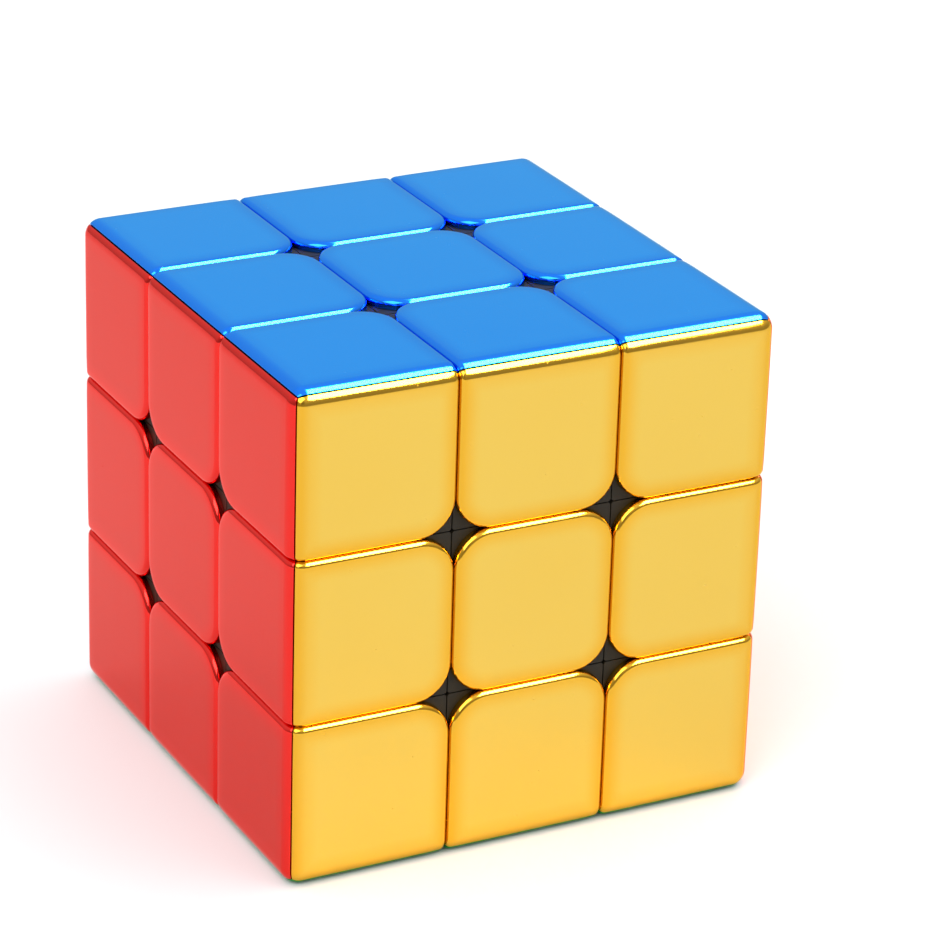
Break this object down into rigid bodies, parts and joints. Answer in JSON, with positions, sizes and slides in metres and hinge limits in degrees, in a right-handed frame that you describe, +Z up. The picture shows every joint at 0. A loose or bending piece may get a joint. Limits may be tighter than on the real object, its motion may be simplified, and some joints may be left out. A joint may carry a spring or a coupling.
{
  "type": "twisty puzzle cube",
  "caption": "Three-layer twisty puzzle cube with shiny metallic tiles over a black sprung mechanism; its top and bottom layers turn.",
  "frame": {"origin": "middle of the core, where the six turning axes cross, which is the middle of the cube", "axes": "+Z up through the blue face, -Y out of the yellow front face, -X out of the red left face"},
  "size_m": [0.057, 0.057, 0.057],
  "materials": {
    "blue_plating": "electroplated metallic",
    "green_plating": "electroplated metallic",
    "yellow_plating": "electroplated metallic",
    "white_plating": "electroplated metallic",
    "red_plating": "electroplated metallic",
    "orange_plating": "electroplated metallic",
    "black_plastic": "moulded, satin",
    "core_plastic": "moulded, satin",
    "zinc_steel": "zinc plated",
    "spring_steel": "drawn wire"
  },
  "bodies": {
    "core": {"core": "core_plastic", "screws": "zinc_steel", "washers": "zinc_steel", "spring_back": "spring_steel", "spring_bottom": "spring_steel", "spring_front": "spring_steel", "spring_left": "spring_steel", "spring_right": "spring_steel", "spring_top": "spring_steel", "edge_back_left": "black_plastic", "edge_back_right": "black_plastic", "edge_front_left": "black_plastic", "edge_front_right": "black_plastic", "orange_tiles_middle_row": "orange_plating", "red_tiles_middle_row": "red_plating", "white_tiles_middle_row": "white_plating", "yellow_tiles_middle_row": "yellow_plating"},
    "top_layer": {"blue_tiles_corners": "blue_plating", "blue_tiles_edges": "blue_plating", "corner_top_back_left": "black_plastic", "corner_top_back_right": "black_plastic", "corner_top_front_left": "black_plastic", "corner_top_front_right": "black_plastic", "edge_top_back": "black_plastic", "edge_top_front": "black_plastic", "edge_top_left": "black_plastic", "edge_top_right": "black_plastic", "orange_tiles_top_row": "orange_plating", "red_tiles_top_row": "red_plating", "white_tiles_top_row": "white_plating", "yellow_tiles_top_row": "yellow_plating"},
    "bottom_layer": {"corner_bottom_back_left": "black_plastic", "corner_bottom_back_right": "black_plastic", "corner_bottom_front_left": "black_plastic", "corner_bottom_front_right": "black_plastic", "edge_bottom_back": "black_plastic", "edge_bottom_front": "black_plastic", "edge_bottom_left": "black_plastic", "edge_bottom_right": "black_plastic", "green_tiles_corners": "green_plating", "green_tiles_edges": "green_plating", "orange_tiles_bottom_row": "orange_plating", "red_tiles_bottom_row": "red_plating", "white_tiles_bottom_row": "white_plating", "yellow_tiles_bottom_row": "yellow_plating"},
    "top_centre": {"blue_tile_centre": "blue_plating", "centre_top": "black_plastic"},
    "bottom_centre": {"centre_bottom": "black_plastic", "green_tile_centre": "green_plating"},
    "front_centre": {"centre_front": "black_plastic", "yellow_tile_centre": "yellow_plating"},
    "back_centre": {"centre_back": "black_plastic", "white_tile_centre": "white_plating"},
    "left_centre": {"centre_left": "black_plastic", "red_tile_centre": "red_plating"},
    "right_centre": {"centre_right": "black_plastic", "orange_tile_centre": "orange_plating"}
  },
  "joints": [
    {"name": "top_turn", "type": "hinge", "parent": "core", "child": "top_layer", "pos_m": [0, 0, 0], "axis": [0, 0, 1], "continuous": true},
    {"name": "bottom_turn", "type": "hinge", "parent": "core", "child": "bottom_layer", "pos_m": [0, 0, 0], "axis": [0, 0, -1], "continuous": true},
    {"name": "top_centre_lift", "type": "slide", "parent": "top_layer", "child": "top_centre", "axis": [0, 0, 1], "range_m": [0, 0.0012], "stiffness_N_per_m": 600, "springref_m": -0.0025, "deforming": ["spring_top"]},
    {"name": "bottom_centre_lift", "type": "slide", "parent": "bottom_layer", "child": "bottom_centre", "axis": [0, 0, -1], "range_m": [0, 0.0012], "stiffness_N_per_m": 600, "springref_m": -0.0025, "deforming": ["spring_bottom"]},
    {"name": "front_centre_lift", "type": "slide", "parent": "core", "child": "front_centre", "axis": [0, -1, 0], "range_m": [0, 0.0012], "stiffness_N_per_m": 600, "springref_m": -0.0025, "deforming": ["spring_front"]},
    {"name": "back_centre_lift", "type": "slide", "parent": "core", "child": "back_centre", "axis": [0, 1, 0], "range_m": [0, 0.0012], "stiffness_N_per_m": 600, "springref_m": -0.0025, "deforming": ["spring_back"]},
    {"name": "left_centre_lift", "type": "slide", "parent": "core", "child": "left_centre", "axis": [-1, 0, 0], "range_m": [0, 0.0012], "stiffness_N_per_m": 600, "springref_m": -0.0025, "deforming": ["spring_left"]},
    {"name": "right_centre_lift", "type": "slide", "parent": "core", "child": "right_centre", "axis": [1, 0, 0], "range_m": [0, 0.0012], "stiffness_N_per_m": 600, "springref_m": -0.0025, "deforming": ["spring_right"]}
  ]
}
